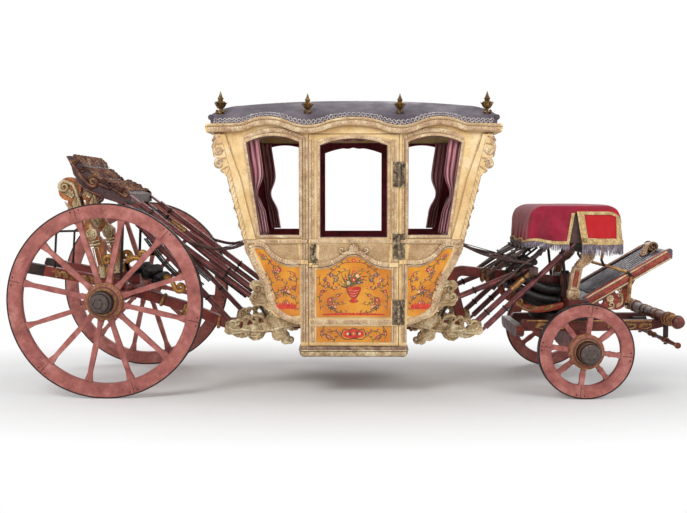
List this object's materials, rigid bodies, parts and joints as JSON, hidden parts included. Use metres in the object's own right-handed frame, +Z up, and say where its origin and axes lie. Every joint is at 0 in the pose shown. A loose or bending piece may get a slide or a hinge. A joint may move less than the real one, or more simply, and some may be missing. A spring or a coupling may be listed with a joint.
{
  "type": "horse-drawn coach",
  "caption": "Gala coach: gilded cabin with curved painted panels and windows, hung by leather braces between a rear stand and a driver's seat, on large rear and small steered wheels.",
  "frame": {"origin": "on the ground below the middle of the whole coach's length and width", "axes": "+X forwards, towards the pole; +Y to the coach's left; +Z up"},
  "size_m": [5.7723, 2.084, 2.591],
  "materials": {
    "wheel_wood": "worn paint",
    "iron": "dark, worn",
    "gear_wood": "dark red paint",
    "carved_wood": "worn gilding",
    "gilt_wood": "pale gilding",
    "painted_panel": "varnished paint",
    "roof_leather": "aged",
    "brace_leather": "aged",
    "footboard_leather": "aged",
    "hammercloth": "velvet with a fringe",
    "curtain": "silk",
    "upholstery": "velvet",
    "gilt_bronze": "dark gilt"
  },
  "bodies": {
    "coach": {"rear_axle": "iron", "rear_bed": "gear_wood", "rear_rails": "gear_wood", "rear_posts": "carved_wood", "crest_board": "brace_leather", "iron_stays": "iron", "perch": "gear_wood", "front_transom": "gear_wood", "upper_turntable": "iron", "kingpin": "iron", "front_posts": "carved_wood", "seat_frame": "gear_wood", "hammercloth": "hammercloth", "footboard": "footboard_leather", "footboard_brackets": "carved_wood", "strap_beam": "gear_wood", "cabin_floor": "gilt_wood", "front_wall": "gilt_wood", "rear_wall": "gilt_wood", "front_quarter_right": "gilt_wood", "front_quarter_left": "gilt_wood", "rear_quarter_right": "gilt_wood", "rear_quarter_left": "gilt_wood", "quarter_panels": "painted_panel", "hinge_knuckles": "gilt_bronze", "cant_rail": "gilt_wood", "cornice": "gilt_wood", "roof": "roof_leather", "finials": "gilt_bronze", "corner_scrolls": "gilt_wood", "benches": "gilt_wood", "cushions": "upholstery", "curtains": "curtain", "body_brackets": "carved_wood", "braces": "brace_leather", "check_straps": "brace_leather"},
    "rear_right_wheel": {"rear_wheel_right": "wheel_wood", "rear_tyre_right": "iron"},
    "rear_left_wheel": {"rear_wheel_left": "wheel_wood", "rear_tyre_left": "iron"},
    "front_right_wheel": {"front_wheel_right": "wheel_wood", "front_tyre_right": "iron"},
    "front_left_wheel": {"front_wheel_left": "wheel_wood", "front_tyre_left": "iron"},
    "fore_carriage": {"front_axle": "iron", "front_bed": "carved_wood", "futchells": "gear_wood", "lower_turntable": "iron", "splinter_bar": "gear_wood", "pole_socket": "iron", "swing_links": "iron"},
    "right_swingletree": {"swingletree_right": "gear_wood"},
    "left_swingletree": {"swingletree_left": "gear_wood"},
    "right_door": {"door_right": "gilt_wood", "door_panels_right": "painted_panel", "door_fittings_right": "gilt_bronze"},
    "left_door": {"door_left": "gilt_wood", "door_panels_left": "painted_panel", "door_fittings_left": "gilt_bronze"}
  },
  "joints": [
    {"name": "rear_right_spin", "type": "hinge", "parent": "coach", "child": "rear_right_wheel", "pos_m": [-2.03, -0.81, 0.825], "axis": [0, 1, 0], "continuous": true},
    {"name": "rear_left_spin", "type": "hinge", "parent": "coach", "child": "rear_left_wheel", "pos_m": [-2.03, 0.81, 0.825], "axis": [0, 1, 0], "continuous": true},
    {"name": "steering", "type": "hinge", "parent": "coach", "child": "fore_carriage", "pos_m": [2.02, 0, 0.6], "axis": [0, 0, 1], "range_deg": [-25, 25]},
    {"name": "front_right_spin", "type": "hinge", "parent": "fore_carriage", "child": "front_right_wheel", "pos_m": [2.02, -0.81, 0.405], "axis": [0, 1, 0], "continuous": true},
    {"name": "front_left_spin", "type": "hinge", "parent": "fore_carriage", "child": "front_left_wheel", "pos_m": [2.02, 0.81, 0.405], "axis": [0, 1, 0], "continuous": true},
    {"name": "right_swingletree_swing", "type": "hinge", "parent": "fore_carriage", "child": "right_swingletree", "pos_m": [2.835, -0.37, 0.434], "axis": [0, 0, 1], "range_deg": [-15, 15]},
    {"name": "left_swingletree_swing", "type": "hinge", "parent": "fore_carriage", "child": "left_swingletree", "pos_m": [2.835, 0.37, 0.434], "axis": [0, 0, 1], "range_deg": [-15, 15]},
    {"name": "right_door_open", "type": "hinge", "parent": "coach", "child": "right_door", "pos_m": [0.4465, -0.754, 1.3], "axis": [0, 0, 1], "range_deg": [0, 95]},
    {"name": "left_door_open", "type": "hinge", "parent": "coach", "child": "left_door", "pos_m": [0.4465, 0.754, 1.3], "axis": [0, 0, -1], "range_deg": [0, 95]}
  ]
}
